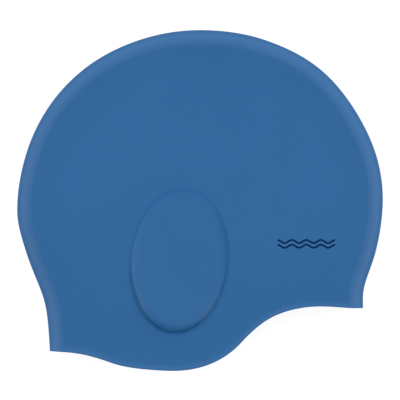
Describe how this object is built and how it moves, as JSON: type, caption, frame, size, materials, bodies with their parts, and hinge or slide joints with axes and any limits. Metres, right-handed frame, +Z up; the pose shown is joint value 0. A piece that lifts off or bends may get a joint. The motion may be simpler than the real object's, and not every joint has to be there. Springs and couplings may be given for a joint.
{
  "type": "swim cap",
  "caption": "One-piece moulded silicone swim cap with a raised ear pocket in each side, lying flat on its side with its mouth open.",
  "frame": {"origin": "middle of the footprint of the cap lying on its side, on the surface that it lies on", "axes": "+X to the forehead, +Y to the crown, +Z up, through the flat cap from its lower to its upper side"},
  "size_m": [0.2238, 0.2084, 0.0229],
  "materials": {
    "silicone": "matt moulded silicone",
    "wave_ink": "printed silicone ink"
  },
  "bodies": {
    "root": {"cap_shell": "silicone"}
  },
  "joints": []
}
